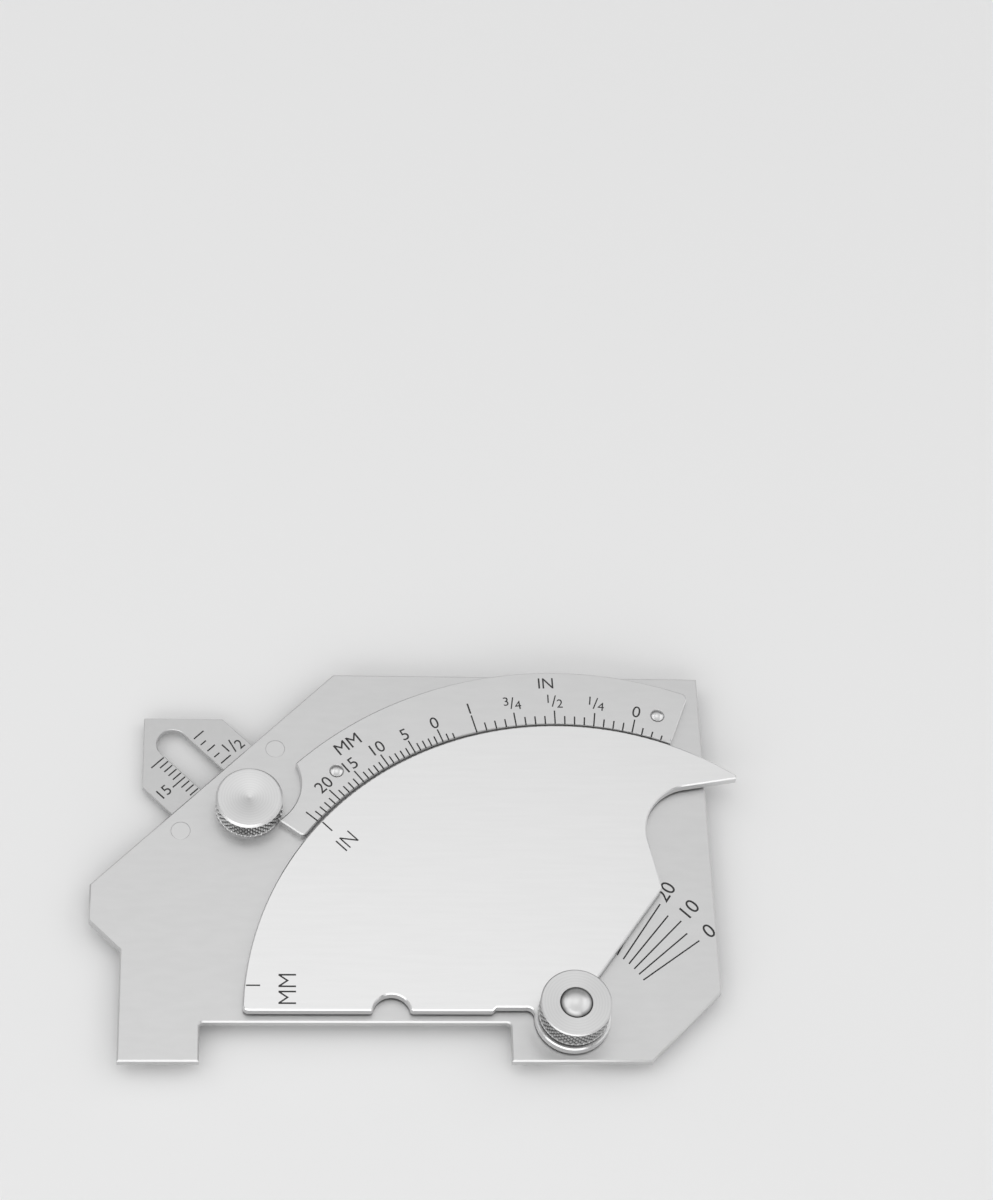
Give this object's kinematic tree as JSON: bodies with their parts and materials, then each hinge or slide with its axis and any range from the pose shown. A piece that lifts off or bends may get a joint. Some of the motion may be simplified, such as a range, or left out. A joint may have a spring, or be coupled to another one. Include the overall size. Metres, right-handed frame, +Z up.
{
  "type": "weld gauge",
  "caption": "Flat steel bridge weld gauge with a turning cam and pointer read on an arc scale, a sliding depth scale, a lock nut and a thumb screw.",
  "frame": {"origin": "centre of the pivot stud's flat head, on the plane the gauge lies on", "axes": "+X along the feet towards the pointer side, +Y from the feet to the top edge, +Z up to the face with the scales"},
  "size_m": [0.105, 0.069, 0.0111],
  "materials": {
    "plate_steel": "matt satin stainless sheet",
    "scale_steel": "matt satin stainless sheet with dark engraved marks",
    "cam_steel": "bright satin stainless sheet",
    "slide_steel": "matt satin stainless sheet with dark engraved marks",
    "keeper_steel": "milled stainless",
    "rivet_steel": "smooth stainless",
    "washer_steel": "plain stainless",
    "stud_steel": "polished stainless",
    "nut_steel": "turned and knurled stainless",
    "screw_steel": "turned and knurled stainless"
  },
  "bodies": {
    "frame_body": {"main_plate": "plate_steel", "scale_plate": "scale_steel", "scale_rivets": "rivet_steel", "cam_washer": "washer_steel", "pivot_stud": "stud_steel", "slide_keeper": "keeper_steel", "keeper_rivets": "rivet_steel"},
    "cam_body": {"cam": "cam_steel"},
    "nut_body": {"lock_nut": "nut_steel"},
    "slide_body": {"slide": "slide_steel"},
    "screw_body": {"thumb_screw": "screw_steel"}
  },
  "joints": [
    {"name": "cam_turn", "type": "hinge", "parent": "frame_body", "child": "cam_body", "pos_m": [0, 0, 0.00475], "axis": [0, 0, 1], "continuous": true},
    {"name": "nut_turn", "type": "hinge", "parent": "frame_body", "child": "nut_body", "pos_m": [0, 0, 0.00785], "axis": [0, 0, 1], "range_deg": [0, 360]},
    {"name": "slide_run", "type": "slide", "parent": "frame_body", "child": "slide_body", "axis": [-0.7071, 0.7071, 0], "range_m": [-0.018, 0.0125]},
    {"name": "screw_turn", "type": "hinge", "parent": "frame_body", "child": "screw_body", "pos_m": [-0.05079, 0.03679, 0.0057], "axis": [0, 0, 1], "range_deg": [0, 360]}
  ]
}
